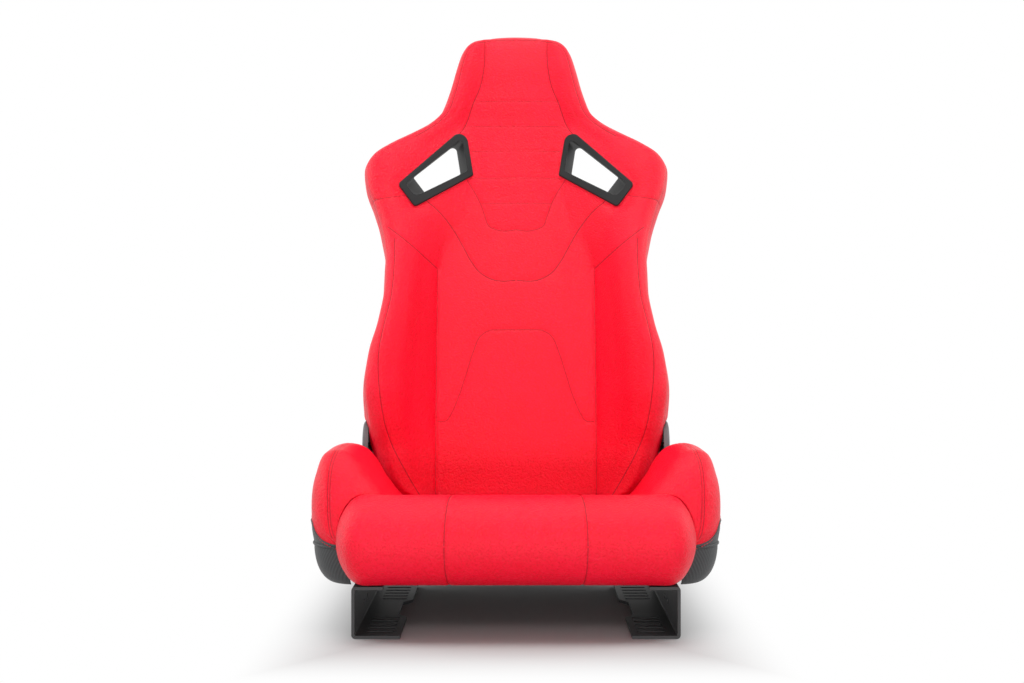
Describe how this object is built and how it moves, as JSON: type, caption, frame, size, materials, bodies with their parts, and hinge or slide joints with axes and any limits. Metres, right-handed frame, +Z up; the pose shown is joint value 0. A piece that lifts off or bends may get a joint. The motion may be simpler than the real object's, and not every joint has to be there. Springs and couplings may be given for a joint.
{
  "type": "racing seat",
  "caption": "Reclining bucket seat with side bolsters, a front roll, harness openings and slotted floor brackets.",
  "frame": {"origin": "floor level, at the centre of the pattern of mounting slots", "axes": "+Z up, -Y the way the sitter faces, +X to the sitter's left"},
  "size_m": [0.624, 0.752, 0.9855],
  "materials": {
    "red_suede": "soft suede with a fine grain",
    "red_knit": "woven, matt",
    "carbon_vinyl": "black with a diagonal weave pattern",
    "grey_piping": "satin",
    "black_steel": "powder coated, satin",
    "zinc_steel": "zinc plated",
    "black_plastic": "satin",
    "grey_plastic": "fine texture",
    "elastic": "woven elastic"
  },
  "bodies": {
    "base": {"front_roll": "red_suede", "cushion_bolster_right": "red_suede", "cushion_bolster_left": "red_suede", "cushion_centre": "red_knit", "side_skirt_right": "carbon_vinyl", "side_skirt_left": "carbon_vinyl", "piping_right": "grey_piping", "piping_left": "grey_piping", "bracket_right": "black_steel", "bracket_left": "black_steel", "cross_tube_front": "black_steel", "cross_tube_rear": "black_steel", "side_plate_right": "black_steel", "side_plate_left": "black_steel", "bracket_bolts": "zinc_steel", "bracket_washers": "zinc_steel", "cover_screws": "zinc_steel", "hinge_disc_base_right": "zinc_steel", "hinge_disc_base_left": "zinc_steel", "rear_pan": "black_plastic", "hinge_cover_right": "grey_plastic", "hinge_cover_left": "grey_plastic", "cushion_straps": "elastic"},
    "backrest": {"backrest_insert": "red_knit", "headrest_pad": "red_suede", "backrest_shell": "carbon_vinyl", "backrest_hoop": "black_steel", "backrest_tube_lower": "black_steel", "backrest_tube_upper": "black_steel", "backrest_straps": "elastic", "backrest_wing_right": "red_suede", "backrest_wing_left": "red_suede", "harness_bezel_front_right": "black_plastic", "harness_bezel_front_left": "black_plastic", "harness_bezel_rear_right": "black_plastic", "harness_bezel_rear_left": "black_plastic", "upper_plate_right": "black_steel", "upper_plate_left": "black_steel", "hinge_disc_back_right": "zinc_steel", "hinge_disc_back_left": "zinc_steel"},
    "recline_lever": {"lever_rod": "zinc_steel", "lever_screws": "zinc_steel", "lever_right": "black_steel", "lever_left": "black_steel", "lever_grip_right": "black_plastic", "lever_grip_left": "black_plastic"}
  },
  "joints": [
    {"name": "recline", "type": "hinge", "parent": "base", "child": "backrest", "pos_m": [0, 0.262, 0.205], "axis": [-1, 0, 0], "range_deg": [-10, 55]},
    {"name": "lever_lift", "type": "hinge", "parent": "base", "child": "recline_lever", "pos_m": [0, 0.262, 0.205], "axis": [-1, 0, 0], "range_deg": [0, 30], "stiffness_Nm_per_rad": 1.5, "springref_deg": -20.05}
  ]
}
